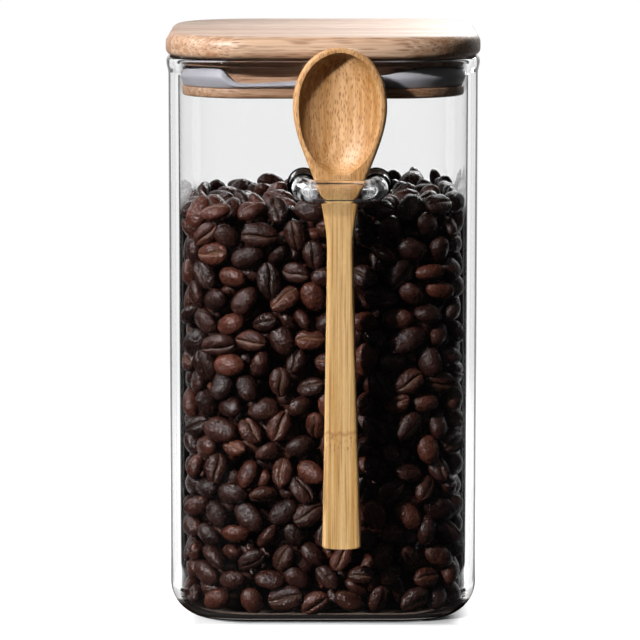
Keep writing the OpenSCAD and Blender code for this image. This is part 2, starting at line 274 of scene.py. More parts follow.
def sweep_round(points, normals, closed, corner_steps, wall_steps, lift=None):
    """Vertices, faces and normals of an outline swept round the rounded square.

    lift may raise the outline's points: it takes the station's (x, y) and returns millimetres
    for every point of the outline. An open outline starts and ends over the corner centres,
    and the rectangle between them is filled.
    """
    bases, ways = stations(corner_steps, wall_steps)
    rows, per = len(bases), len(points)
    verts = np.zeros((rows, per, 3))
    vert_normals = np.zeros((rows, per, 3))
    verts[:, :, :2] = bases[:, None] + points[:, :1] * ways[:, None]
    verts[:, :, 2] = points[:, 1]
    if lift is not None:
        for r in range(rows):
            verts[r, :, 2] += lift(bases[r] + ways[r] * points[:, 0].max())
    vert_normals[:, :, :2] = normals[:, :1] * ways[:, None]
    vert_normals[:, :, 2] = normals[:, 1]
    index = np.arange(rows * per).reshape(rows, per)
    if not closed:
        for column in (0, per - 1):
            for r in range(1, rows):
                if np.allclose(bases[r], bases[r - 1]):
                    index[r, column] = index[r - 1, column]
    faces = []
    span = per if closed else per - 1
    for r in range(rows):
        s = (r + 1) % rows
        for k in range(span):
            m = (k + 1) % per
            quad = [index[r, k], index[s, k], index[s, m], index[r, m]]
            ring = [int(v) for i, v in enumerate(quad) if v != quad[i - 1]]
            if len(ring) > 2:
                faces.append(ring)
    if not closed:
        for column in (0, per - 1):
            ring = list(dict.fromkeys(int(v) for v in index[:, column]))
            faces.append(ring[::-1] if column == 0 else ring)
    flat = verts.reshape(-1, 3)
    used = np.unique(np.concatenate([np.array(f) for f in faces]))
    renumber = np.full(rows * per, -1)
    renumber[used] = np.arange(len(used))
    faces = [[int(renumber[v]) for v in f] for f in faces]
    return flat[used], faces, vert_normals.reshape(-1, 3)[used]


# ------------ materials


class Tree:
    """A node tree that is built by calls. Each value is a number, a tuple or a node's output."""

    def __init__(self, owner):
        owner.use_nodes = True
        self.tree = owner.node_tree
        self.tree.nodes.clear()

    def add(self, kind, inputs=None, **settings):
        """The outputs of a new node. inputs sets its sockets by name or number."""
        made = self.tree.nodes.new("ShaderNode" + kind)
        for key, value in settings.items():
            setattr(made, key, value)
        for key, value in (inputs or {}).items():
            if isinstance(value, bpy.types.NodeSocket):
                self.tree.links.new(value, made.inputs[key])
            else:
                made.inputs[key].default_value = value
        return made.outputs

    def maths(self, operation, a, b=0.0, c=0.0):
        return self.add("Math", {0: a, 1: b, 2: c}, operation=operation)[0]

    def plus(self, a, b):
        return self.maths("ADD", a, b)

    def minus(self, a, b):
        return self.maths("SUBTRACT", a, b)

    def times(self, a, b):
        return self.maths("MULTIPLY", a, b)

    def highest(self, a, b):
        return self.maths("MAXIMUM", a, b)

    def size(self, a):
        return self.maths("ABSOLUTE", a)

    def linear(self, a, factor, start):
        """start where a is 0, and more by factor for each whole of a."""
        return self.maths("MULTIPLY_ADD", a, factor, start)

    def above(self, value, low, high):
        """0 below low and 1 above high, with a smooth step from one to the other."""
        limits = {"Value": value, "From Min": low, "From Max": high}
        return self.add("MapRange", limits, interpolation_type="SMOOTHSTEP")[0]

    def below(self, value, low, high):
        return self.minus(1.0, self.above(value, low, high))

    def ramp(self, value, *stops):
        """A colour ramp from (position, grey or colour) stops."""
        outputs = self.add("ValToRGB", {"Fac": value})
        cells = outputs[0].node.color_ramp.elements
        while len(cells) < len(stops):
            cells.new(0.5)
        for cell, (position, colour) in zip(cells, stops):
            cell.position = position
            cell.color = (*(colour if isinstance(colour, tuple) else [colour] * 3), 1.0)
        return outputs["Color"]

    def mix(self, factor, a, b, blend="MIX"):
        """Colour a with colour b mixed in or blended over it."""
        a, b = ((*colour, 1.0) if isinstance(colour, tuple) else colour for colour in (a, b))
        return self.add("Mix", {0: factor, 6: a, 7: b}, data_type="RGBA", blend_type=blend)[2]

    def attribute(self, name):
        return self.add("Attribute", attribute_name=name)["Fac"]

    def where(self):
        return self.add("TexCoord")["Object"]

    def xyz(self):
        """The object coordinates X, Y and Z in metres, as three outputs."""
        return self.add("SeparateXYZ", {0: self.where()})

    def length(self, vector):
        return self.add("VectorMath", {0: vector}, operation="LENGTH")["Value"]

    def stretched(self, scale, shift=None):
        """Object coordinates times scale, in cells per metre along each axis."""
        spot = self.where()
        if shift is not None:
            spot = self.add("VectorMath", {0: spot, 1: shift}, operation="ADD")[0]
        return self.add("VectorMath", {0: spot, 1: scale}, operation="MULTIPLY")[0]

    def noise(self, vector, detail=2.0, rough=0.5):
        settings = {"Vector": vector, "Scale": 1.0, "Detail": detail, "Roughness": rough}
        return self.add("TexNoise", settings)["Fac"]

    def bump(self, strength, distance, height):
        return self.add("Bump", {"Strength": strength, "Distance": distance, "Height": height})[0]

    def principled(self, **inputs):
        """The main shader, with spaces for the underscores in the names of its sockets."""
        named = {key.replace("_", " "): value for key, value in inputs.items()}
        return self.add("BsdfPrincipled", named)[0]

    def diffuse(self, colour):
        return self.add("BsdfDiffuse", {"Color": (*colour, 1.0)})[0]

    def mix_shader(self, share, first, second):
        return self.add("MixShader", {0: share, 1: first, 2: second})[0]

    def finish(self, shader):
        self.add("OutputMaterial", {"Surface": shader})


def new_material(name):
    material = bpy.data.materials.new(name)
    return material, Tree(material)


def glass_material(name, wave, film):
    """Clear glass. Lamps and diffuse light pass straight through it, so what is behind is lit.

    wave is how far its surface waves, in metres. film is a function that says what painted
    reflection lies over the glass: it returns the film's share and its colour. The heel has a
    painted brown reflection of the coffee in its thick glass, and the ring that the jar stands on
    lets the floor through.
    """
    material, tree = new_material(name)
    spot = tree.xyz()
    wavy = tree.noise(tree.stretched((22.0, 22.0, 14.0)), 1.0)
    # painted reflection: the heel's clear glass is tinted brown where the coffee would show in it
    foot = tree.minus(tree.above(spot[2], *HEEL_REFLECTION_FROM), tree.above(spot[2], *HEEL_REFLECTION_TO))
    glass = tree.principled(
        Base_Color=tree.mix(foot, GLASS_TINT, HEEL_COFFEE_REFLECTION),
        Roughness=0.0,
        IOR=1.47,
        Transmission_Weight=1.0,
        Normal=tree.bump(1.0, wave, wavy),
    )
    share, colour = film(tree, spot)
    glass = tree.mix_shader(share, glass, tree.diffuse(colour))
    clear = tree.add("BsdfTransparent", {"Color": (*CLEAR_TINT, 1.0)})[0]
    path = tree.add("LightPath")
    straight = tree.highest(path["Is Shadow Ray"], path["Is Diffuse Ray"])
    ground = tree.times(tree.below(spot[2], *GROUND_TO), 0.8)
    tree.finish(tree.mix_shader(tree.highest(straight, ground), glass, clear))
    return material


def painted_coffee_reflection(tree, spot):
    """Painted dark reflection of the coffee in the wall, as high as it stands, shown at a grazing
    look.
    """
    past = [tree.highest(tree.minus(tree.size(spot[k]), CORNER * MM), 0.0) for k in range(2)]
    depth = tree.length(tree.add("CombineXYZ", {0: past[0], 1: past[1]})[0])
    inside = tree.maths("LESS_THAN", depth, (CORNER_R - WALL / 2) * MM)
    coffee_behind = tree.times(inside, tree.below(spot[2], *COFFEE_REFLECTION_TO))
    facing = tree.add("LayerWeight", {"Blend": 0.5})["Facing"]
    front = tree.minus(1.0, tree.add("NewGeometry")["Backfacing"])
    grazing = tree.times(tree.above(facing, 0.60, 0.80), front)
    # painted reflection: the dark coffee colour laid over the wall at a grazing look
    return tree.times(coffee_behind, grazing), (0.02, 0.011, 0.008)


def painted_loop_streaks(tree, spot):
    """Painted white streaks on the loop's front that stand in for reflections, not in its bar's
    middle.
    """
    aside = tree.above(tree.size(tree.minus(spot[0], LOOP_X * MM)), *PAINTED_STREAKS_BESIDE)
    streaks = tree.noise(tree.stretched((520.0, 260.0, 150.0)), 3.0)
    streaks = tree.ramp(streaks, (0.40, 0.0), (0.62, 1.0))
    front = tree.above(tree.times(spot[1], -1.0), *PAINTED_STREAKS_BEFORE)
    share = tree.times(streaks, tree.times(aside, front))
    # painted reflection: whitish streaks on the front of the loop
    return tree.times(share, 0.5), (0.9, 0.92, 0.94)


def bamboo_material(name, colours, grain, lines, flecks, rough, carved=None):
    """Bamboo with its fibres along one axis: 0 for X, 2 for Z.

    colours are the pale, the deep and the dark one. lines are long thin fibres and flecks the
    ends of vascular bundles, each given by its cells per metre along the grain and across it
    and by its strength. Every piece shifts the pattern by its own tone. carved is the tint of
    the spoon's bowl, where the flecks show most, and goes with the node in its handle.
    """
    pale, deep, dark = colours
    material, tree = new_material(name)
    tone = tree.attribute("tone")
    shift = tree.add("CombineXYZ", {0: tone, 1: tree.times(tone, 0.37), 2: tone})[0]

    def fibres(along, across):
        scale = [across] * 3
        scale[grain] = along
        return tree.stretched(scale, shift)

    strips = tree.noise(fibres(3.0, 120.0), 2.0, 0.6)
    streaks = tree.noise(fibres(14.0, 800.0), 3.0, 0.62)
    hairs = tree.noise(fibres(45.0, 2400.0), 2.0, 0.6)
    mixed = tree.plus(tree.times(strips, 0.45), tree.times(streaks, 0.55))
    mixed = tree.plus(mixed, tree.times(tone, 0.12))
    colour = tree.mix(tree.ramp(mixed, (0.37, 0.0), (0.63, 1.0)), pale, deep)
    threads = tree.noise(fibres(*lines[:2]), 2.0, 0.6)
    threads = tree.times(tree.ramp(threads, (0.54, 0.0), (0.68, 1.0)), lines[2])
    cells = tree.add("TexVoronoi", {"Vector": fibres(*flecks[:2]), "Scale": 1.0})
    dots = tree.ramp(cells["Distance"], (0.22, 1.0), (0.46, 0.0))
    rare = tree.ramp(cells["Color"], (0.1, 0.5), (0.5, 1.0))
    dots = tree.times(tree.times(dots, rare), flecks[2])
    if carved is not None:
        bowl = tree.above(tree.xyz()[2], *BOWL_FROM)
        colour = tree.mix(tree.times(bowl, 0.75), colour, carved, "MULTIPLY")
        dots = tree.times(dots, tree.linear(bowl, 0.85, 0.15))
        threads = tree.times(threads, tree.linear(bowl, -0.8, 1.0))
    colour = tree.mix(threads, colour, dark)
    colour = tree.mix(dots, colour, dark)
    shade = tree.ramp(hairs, (0.3, 0.88), (0.7, 1.05))
    colour = tree.mix(1.0, colour, shade, "MULTIPLY")
    relief = tree.plus(streaks, tree.times(tree.plus(dots, threads), -0.7))
    if carved is not None:
        mark = bamboo_node(tree)
        colour = tree.mix(mark, colour, dark)
        relief = tree.plus(relief, tree.times(mark, -0.9))
    surface = tree.principled(
        Base_Color=colour,
        Roughness=tree.linear(streaks, 0.14, rough),
        Normal=tree.bump(0.3, 0.00018, relief),
        Specular_IOR_Level=0.5,
    )
    tree.finish(surface)
    return material


def bamboo_node(tree):
    """The ragged mark that a bamboo node leaves across the fibres: a groove and pits below it."""
    wander = tree.times(tree.noise(tree.stretched((330.0, 330.0, 60.0)), 2.0), 0.004)
    level = tree.minus(tree.plus(tree.xyz()[2], wander), (NODE_Z + 2.0) * MM)
    groove = tree.below(tree.size(level), 0.0002, 0.0009)
    zone = tree.below(tree.size(tree.plus(level, 0.0022)), 0.0018, 0.0042)
    pits = tree.noise(tree.stretched((1500.0, 1500.0, 520.0)), 2.0)
    pits = tree.times(zone, tree.ramp(pits, (0.52, 0.0), (0.66, 1.0)))
    return tree.highest(tree.times(groove, 0.45), tree.times(pits, 0.75))


def silicone_material():
    """Milky grey silicone that lets some light through."""
    material, tree = new_material("silicone_grey")
    cloud = tree.noise(tree.stretched((60.0, 60.0, 60.0)), 2.0)
    surface = tree.principled(
        Base_Color=tree.ramp(cloud, (0.3, (0.38, 0.37, 0.405)), (0.7, (0.46, 0.45, 0.485))),
        Roughness=0.42,
        Subsurface_Weight=0.35,
        Subsurface_Radius=(0.004, 0.004, 0.0045),
        Subsurface_Scale=0.6,
        IOR=1.41,
    )
    tree.finish(surface)
    return material


def coffee_material():
    """Dark roast: red-brown skins with a thin oily sheen, each bean with its own tone."""
    material, tree = new_material("roasted_coffee")
    tone = tree.attribute("tone")
    mottle = tree.noise(tree.stretched((280.0, 280.0, 280.0)), 2.0, 0.55)
    wrinkle = tree.noise(tree.stretched((1500.0, 1500.0, 1500.0)), 2.0, 0.55)
    blend = tree.plus(tree.times(mottle, 0.4), tree.times(tone, 0.6))
    deep, middle, pale = (0.012, 0.0040, 0.0030), (0.031, 0.0088, 0.0056), (0.105, 0.028, 0.0145)
    roast = tree.ramp(blend, (0.25, deep), (0.5, middle), (0.85, pale))
    chaff = tree.ramp(tone, (0.35, 0.1), (0.8, 0.75))
    chaff = tree.times(tree.highest(tree.attribute("crease"), 0.0), chaff)
    surface = tree.principled(
        Base_Color=tree.mix(chaff, roast, (0.20, 0.10, 0.055)),
        Roughness=tree.ramp(mottle, (0.3, 0.24), (0.7, 0.38)),
        Normal=tree.bump(0.7, 0.0006, tree.linear(mottle, 2.0, wrinkle)),
        Specular_IOR_Level=0.38,
    )
    tree.finish(surface)
    return material


def ray_kinds(tree):
    """1 for rays that look at the background freely, and 1 for those that a surface mirrored."""
    path = tree.add("LightPath")
    bounced = tree.maths("GREATER_THAN", path["Glossy Depth"], 0.5)
    through = tree.times(path["Is Transmission Ray"], tree.minus(1.0, bounced))
    free = tree.highest(path["Is Camera Ray"], through)
    return free, tree.times(path["Is Glossy Ray"], bounced)


def floor_material(name, grey, glow):
    """A white floor. What is mirrored or lit by it is only its part behind the object.

    glow is the floor's own light near the object, and full white is reached further out. The
    floor under the jar has no glow, a painted shadow, so that the glass doesn't glow from below.
    """
    material, tree = new_material(name)
    free, mirrored = ray_kinds(tree)
    where = tree.where()
    x, y, _ = tree.add("SeparateXYZ", {0: where})
    across = tree.size(x)
    wider = tree.highest(tree.minus(y, 0.03), 0.0)
    sweep = tree.below(tree.minus(across, wider), 0.107, 0.118)
    sweep = tree.times(sweep, tree.above(y, -0.02, 0.02))
    path = tree.add("LightPath")
    outside = tree.times(tree.maths("LESS_THAN", path["Transmission Depth"], 0.5), mirrored)
    sweep = tree.times(sweep, tree.linear(outside, -0.4, 1.0))
    far = tree.above(tree.length(where), 0.22, 0.6)
    near = tree.times(tree.highest(sweep, free), tree.minus(1.0, far))
    matt = tree.add("BsdfDiffuse", {"Color": tree.linear(near, grey - 0.03, 0.03)})[0]
    # painted shadow: the glow is left out under the jar, over a wider square for rays that are not
    # camera rays
    footprint = tree.highest(across, tree.size(y))
    footprint = tree.linear(path["Is Camera Ray"], 0.022, tree.minus(footprint, 0.022))
    level = tree.linear(far, 1.0 - glow, glow)
    level = tree.times(level, tree.above(footprint, 0.040, 0.050))
    shown = tree.highest(free, tree.times(mirrored, sweep))
    light = tree.add("Emission", {"Strength": tree.times(level, shown)})[0]
    tree.finish(tree.add("AddShader", {0: matt, 1: light})[0])
    return material


# ------------ glass jar


def build_jar(material):
    outline = [
        (0.0, PUSH_UP, 0, 0),
        (STAND_IN - 2.5, PUSH_UP, 3.0, 3),
        (STAND_IN, 0.0, 1.2, 3),
        (CORNER_R, 0.0, HEEL_R, 12),
        (CORNER_R, JAR_H - RIM_H - 1.0, 5.0, 5),
        (CORNER_R + RIM_BEAD, JAR_H - RIM_H + 1.6, 4.0, 5),
        (CORNER_R + RIM_BEAD, JAR_H, RIM_R, 6),
        (CORNER_R - WALL, JAR_H, RIM_R, 6),
        (CORNER_R - WALL, BASE, HEEL_IN_R, 12),
        (0.0, BASE, 0, 0),
    ]
    points, normals = rounded(outline, False)
    verts, faces, swept = sweep_round(points, normals, False, 24, 8)
    place(add_mesh("glass_jar_blown", verts, faces, material, swept), "jar", "glass_jar")


def loop_rod():
    """Middle line and radii of the loop's rod: out from a foot, round the bends and back."""
    arm_x = float(spoon_half(SPOON_ABOVE)) + LOOP_PLAY + ROD_R
    reach = -JAR_HALF - SPOON_Y + LOOP_PLAY + ROD_R
    straight = reach - BEND_R
    foot = FOOT_L + 1.0
    flare = FOOT_R + FOOT_MELT - ROD_R
    rod = []
    for k in range(12):
        t = k / 11
        radius = ROD_R + flare * (1 - math.sqrt(max(0.0, 1 - (1 - t) ** 2.2)))
        rod.append((arm_x, FOOT_SINK - t * (foot + FOOT_SINK), radius))
    for k in range(1, 5):
        rod.append((arm_x, -foot - (straight - foot) * k / 4, ROD_R))
    for k in range(1, 13):
        turn = math.radians(90 * k / 12)
        x = arm_x - BEND_R + BEND_R * math.cos(turn)
        rod.append((x, -straight - BEND_R * math.sin(turn), ROD_R))
    for k in range(1, 6):
        rod.append(((arm_x - BEND_R) * (1 - k / 5), -reach, ROD_R))
    mirrored = [(-x, y, radius) for x, y, radius in rod[-2::-1]]
    rod = np.array(rod + mirrored)
    return rod[:, :2], rod[:, 2]


def build_loop(material):
    """A bent glass rod with flared feet that are melted into the front wall."""
    path, radii = loop_rod()
    tangents = np.gradient(path, axis=0)
    tangents /= np.linalg.norm(tangents, axis=1)[:, None]
    around = 40
    verts = []
    lean = np.array([[math.cos(DROOP), -math.sin(DROOP)], [math.sin(DROOP), math.cos(DROOP)]])
    for centre, way, radius in zip(path, tangents, radii):
        for k in range(around):
            angle = 2 * math.pi * k / around
            spoke = [way[1] * math.cos(angle), -way[0] * math.cos(angle), math.sin(angle)]
            point = np.array([*centre, 0.0]) + np.array(spoke) * radius
            point[1:] = lean @ point[1:]
            verts.append(point + [LOOP_X, -JAR_HALF, LOOP_Z])
    thing = add_mesh("glass_loop_bent", verts, capped_tube(len(path), around), material)
    place(thing, "jar", "spoon_loop")


# ------------ lid


def cut_lath(thing, low, high):
    """Keeps the part of a closed mesh between two seams and closes the cuts."""
    work = bmesh.new()
    work.from_mesh(thing.data)
    for level, way in ((low, -1.0), (high, 1.0)):
        if level is None:
            continue
        parts = list(work.verts) + list(work.edges) + list(work.faces)
        cut = bmesh.ops.bisect_plane(
            work,
            geom=parts,
            plane_co=(0, level * MM, 0),
            plane_no=(0, way, 0),
            clear_outer=True,
            dist=1e-8,
        )
        edges = [e for e in cut["geom_cut"] if isinstance(e, bmesh.types.BMEdge)]
        for face in bmesh.ops.holes_fill(work, edges=edges, sides=0)["faces"]:
            face.smooth = False
    bmesh.ops.recalc_face_normals(work, faces=work.faces)
    work.to_mesh(thing.data)
    work.free()


def build_laths(kind, outline, tones, material):
    """Four laths of the board or the plug, each eased a little along its glue lines."""
    points, normals = rounded(outline, False)
    verts, faces, _ = sweep_round(points, normals, False, 24, 10)
    seams = [None, *SEAMS, None]
    for n, tone in enumerate(tones):
        thing = add_mesh(f"{kind}_lath_{n + 1}_bamboo", verts, faces, material)
        cut_lath(thing, seams[n], seams[n + 1])
        thing.data.set_sharp_from_angle(angle=math.radians(40))
        float_attribute(thing, "tone", tone)
        bevel = thing.modifiers.new("eased_edges", "BEVEL")
        bevel.width = LATH_EASE * MM
        bevel.segments = 2
        bevel.limit_method = "ANGLE"
        bevel.angle_limit = math.radians(50)
        bevel.harden_normals = True
        place(thing, "lid", f"{kind}_lath_{n + 1}")


def build_lid(material):
    edge = CORNER_R + LID_OVER
    top = BOARD_Z + BOARD_T
    board = [(0.0, BOARD_Z, 0, 0), (edge, BOARD_Z, 2.2, 7), (edge, top, 3.4, 10), (0.0, top, 0, 0)]
    plug = [
        (0.0, PLUG_Z, 0, 0),
        (PLUG_X, PLUG_Z, 0.8, 5),
        (PLUG_X, PLUG_Z + GROOVE_LOW, 0.3, 3),
        (GROOVE_X, PLUG_Z + GROOVE_LOW, 0.2, 2),
        (GROOVE_X, PLUG_Z + GROOVE_HIGH, 0.2, 2),
        (PLUG_X, PLUG_Z + GROOVE_HIGH, 0.3, 3),
        (PLUG_X, PLUG_Z + PLUG_T, 0.2, 2),
        (0.0, PLUG_Z + PLUG_T, 0, 0),
    ]
    build_laths("board", board, (0.30, 0.62, 0.15, 0.48), material)
    build_laths("plug", plug, (0.72, 0.40, 0.66, 0.35), material)


def build_seal(material):
    high = SEAL_HIGH - SEAL_LOW
    outline = [
        (GROOVE_X + 0.05, SEAL_LOW, 0.3, 3),
        (SEAL_X - SEAL_SLANT, SEAL_LOW, 0.6, 4),
        (SEAL_X, SEAL_LOW + high * 0.5, 3.0, 8),
        (SEAL_X - SEAL_SLANT, SEAL_HIGH, 0.6, 4),
        (GROOVE_X + 0.05, SEAL_HIGH, 0.3, 3),
    ]
    points, normals = rounded(outline, True)

    def lift(spot):
        sag = np.interp(spot[0], SAG_X, SAG) if spot[1] < -SEAL_FRONT else 0.0
        return (SEAL_LOW - points[:, 1]) * sag

    verts, faces, _ = sweep_round(points, normals, True, 40, 60, lift)
    place(add_mesh("seal_ring_silicone", verts, faces, material), "lid", "seal_ring")


# ------------ spoon


def arch(t, power):
    return np.maximum(0.0, 1.0 - np.abs(t) ** power) ** (1.0 / power)


def ease(t):
    return (1.0 + np.cos(np.pi * clamp01(t))) / 2.0


def spoon_half(s):
    """Half of the spoon's width at distances s below its tip."""
    bowl = BOWL_W / 2 * arch((BOWL_UP - s) / BOWL_UP, 2.12)
    taper = NECK_W / 2 + (BOWL_W - NECK_W) / 2 * ease(clamp01((s - BOWL_UP) / TAPER_L) ** 0.93)
    handle = NECK_W / 2 + (END_W - NECK_W) / 2 * clamp01((s - NECK_S) / (SPOON_L - NECK_S)) ** 1.15
    end = END_R * (1 - arch(np.maximum(0.0, s - (SPOON_L - END_R)) / END_R, 2))
    fuller = FULLER[2] * np.exp(-(((s - FULLER[0]) / FULLER[1]) ** 2))
    return np.where(s < BOWL_UP, bowl, np.where(s < NECK_S, taper, handle) + fuller) - end


def spoon_depth(s):
    """The spoon's thickness at distances s below its tip."""
    bowl = EDGE_R + (BOWL_D - EDGE_R) * arch((BOWL_UP - s) / BOWL_UP, 2.4)
    rest = HANDLE_T + (BOWL_D - HANDLE_T) * ease((s - BOWL_UP) / BACK_L)
    return np.where(s < BOWL_UP, bowl, rest)


def hollow_half(s):
    """Half of the hollow's width, 0 beyond its two ends."""
    upper = arch((BOWL_UP - s) / (BOWL_UP - SPOON_RIM), 2.12)
    lower = arch((s - BOWL_UP) / (HOLLOW_L - BOWL_UP), 2)
    share = np.where(s < BOWL_UP, upper, lower) * ((s >= SPOON_RIM) & (s <= HOLLOW_L))
    return (BOWL_W / 2 - SPOON_RIM) * share


def spoon_front(x, s, half, hollow):
    """Depth of the front face behind the spoon's front plane."""
    slope = (spoon_half(s + 0.05) - spoon_half(np.maximum(0.0, s - 0.05))) / 0.1
    inset = (half - np.abs(x)) / np.sqrt(1 + slope**2)
    gap = np.clip(EDGE_R - inset, 0.0, EDGE_R)
    edge = EDGE_R - np.sqrt(np.maximum(0.0, EDGE_R**2 - gap**2))
    safe = np.maximum(hollow, 1e-6)
    shape = np.maximum(0.0, 1 - (x / safe) ** 2) ** 0.85
    dish = HOLLOW_D * (safe / (BOWL_W / 2 - SPOON_RIM)) ** 0.9 * shape
    return edge + np.where((np.abs(x) < hollow) & (hollow > 1e-3), dish, 0.0)


def build_spoon(material):
    s = np.concatenate(
        [
            BOWL_UP * (1 - np.cos(np.linspace(0.045, np.pi / 2, 34))),
            np.linspace(BOWL_UP, HOLLOW_L, 44)[1:],
            np.linspace(HOLLOW_L, NECK_S, 22)[1:],
            np.linspace(NECK_S, SPOON_L - END_R, 56)[1:],
            SPOON_L - END_R * (1 - np.sin(np.linspace(0, np.pi / 2, 9)[1:])),
        ]
    )
    half = spoon_half(s)
    hollow = hollow_half(s)
    dish_steps, rim_steps, back_steps = 44, 9, 40
    inner = np.minimum(half - 0.5 * EDGE_R, np.maximum(hollow, 0.45 * half))
    rim = 1 - np.cos(np.linspace(0, np.pi / 2, rim_steps + 1)[:-1])
    right = half[:, None] - (half - inner)[:, None] * rim
    across = inner[:, None] * np.cos(np.pi * np.linspace(0, 1, dish_steps + 1))
    front_x = np.concatenate([right, across, -right[:, ::-1]], axis=1)
    front_y = spoon_front(front_x, s[:, None], half[:, None], hollow[:, None])
    turn = np.pi * np.linspace(0, 1, back_steps + 1)[1:-1]
    back_x = -half[:, None] * np.cos(turn)
    power = (2.2 + 1.2 * (1 - ease((s - BOWL_UP) / TAPER_L)))[:, None]
    depth = spoon_depth(s)[:, None]
    back_y = EDGE_R + (depth - EDGE_R) * arch(back_x / half[:, None], power)
    x = np.concatenate([front_x, back_x], axis=1)
    x = x + RUN_OFF * clamp01((s[:, None] - RUN_OFF_S) / (SPOON_L - RUN_OFF_S)) ** 1.2
    y = np.concatenate([front_y, back_y], axis=1)
    z = np.broadcast_to(-s[:, None], x.shape)
    rows, per = x.shape
    ring = np.stack([x, y, z], axis=2).reshape(-1, 3)
    verts = np.vstack([[[0.0, EDGE_R, 0.0]], ring]) + [LOOP_X, SPOON_Y, SPOON_TIP_Z]
    faces = [[0, 1 + k, 1 + (k + 1) % per] for k in range(per)]
    faces += tube_faces(rows, per, first=1, flip=True)
    faces.append([1 + (rows - 1) * per + k for k in range(per - 1, -1, -1)])
    thing = add_mesh("spoon_carved", verts, faces, material)
    thing.data.set_sharp_from_angle(angle=math.radians(50))
    float_attribute(thing, "tone", 0.25)
    place(thing, "spoon", "spoon")


# ------------ coffee


def wall_gap(points):
    """Distance of points from the inside of the glass, and the way from the glass to them."""
    outer = FILL_HALF - CORNER
    beyond = np.abs(points[:, :2]) - CORNER
    side = np.where(points[:, :2] < 0, -1.0, 1.0)
    turning = (beyond > 0).all(1)
    reach = np.linalg.norm(np.maximum(beyond, 0), axis=1)
    gap = outer - np.where(turning, reach, beyond.max(1))
    away = np.zeros((len(points), 3))
    first = beyond[:, 0] >= beyond[:, 1]
    safe = np.maximum(reach, 1e-9)
    straight = np.stack([first, ~first], 1)
    away[:, :2] = -side * np.where(turning[:, None], beyond / safe[:, None], straight)
    rise = points[:, 2] - FILL_LOW
    u, v = FILL_HEEL - gap, FILL_HEEL - rise
    heel = (u > 0) & (v > 0)
    span = np.hypot(u, v)
    up = np.array([0.0, 0.0, 1.0])
    low = (~heel) & (rise < gap)
    bent = (u[:, None] * away + v[:, None] * up) / np.maximum(span, 1e-9)[:, None]
    away = np.where(heel[:, None], bent, np.where(low[:, None], up, away))
    return np.where(heel, FILL_HEEL - span, np.minimum(gap, rise)), away


def cross_matrices(vectors):
    """Matrices that take the cross product of each vector with another one."""
    return np.cross(np.eye(3), vectors[:, None])


def turn_matrices(axis_angle):
    """Rotation matrices from axes that are as long as their angles."""
    angle = np.linalg.norm(axis_angle, axis=1) + 1e-12
    cross = cross_matrices(axis_angle / angle[:, None])
    s, c = np.sin(angle)[:, None, None], np.cos(angle)[:, None, None]
    return np.eye(3) + s * cross + (1 - c) * (cross @ cross)


def random_turns(rng, count):
    """Rotation matrices in any direction alike, from quaternions."""
    q = rng.normal(size=(count, 4))
    q /= np.linalg.norm(q, axis=1)[:, None]
    cross = cross_matrices(q[:, 1:])
    return np.eye(3) + 2 * q[:, :1, None] * cross + 2 * (cross @ cross)


def near_pairs(centres, reach):
    """Pairs of beans whose centres are within reach, found by sorting on height."""
    order = np.argsort(centres[:, 2])
    heights = centres[order, 2]
    stop = np.searchsorted(heights, heights + reach)
    width = int((stop - np.arange(len(centres))).max())
    other = np.arange(len(centres))[:, None] + np.arange(1, max(2, width))[None, :]
    rows, steps = np.nonzero(other < stop[:, None])
    first, second = order[rows], order[rows + steps + 1]
    near = ((centres[first] - centres[second]) ** 2).sum(1) < reach**2
    return first[near], second[near]


def chance(i, j, k):
    """A number from 0 to 1 that looks random but is the same at every run."""
    n = 43758.5453 * math.sin(math.radians(12.9898 * i + 78.233 * j + 37.719 * k))
    return n - math.floor(n)


def swing(i, j, k):
    """A small step to either side, as a share of the beans' spacing."""
    return 0.3 * (chance(i, j, k) - 0.5)


def fill_top(x):
    """Height of the filling, which slopes a little from side to side."""
    return FILL_TOP + FILL_SLOPE * x


def side_length():
    """Length of a straight wall with one corner's arc, along the middles of the beans."""
    return 2 * CORNER + math.pi / 2 * (FILL_HALF - CORNER - BEAN[2] / 2)


def at_wall(u, z, depth):
    """Point at length u round the filling, a depth in from the glass, and its outward angle."""
    side = side_length()
    arc = side - 2 * CORNER
    turn, rest = divmod(u % (4 * side), side)
    angle = math.radians(90 * (turn + min(1.0, rest / arc)))
    here, there = np.array(QUARTERS)[[int(turn), (int(turn) + 1) % 4]]
    reach = FILL_HALF - CORNER - depth
    way = np.array([math.cos(angle), math.sin(angle)])
    spot = here * CORNER + (there - here) / 2 * max(0.0, rest - arc) + reach * way
    return np.array([*spot, z]), angle


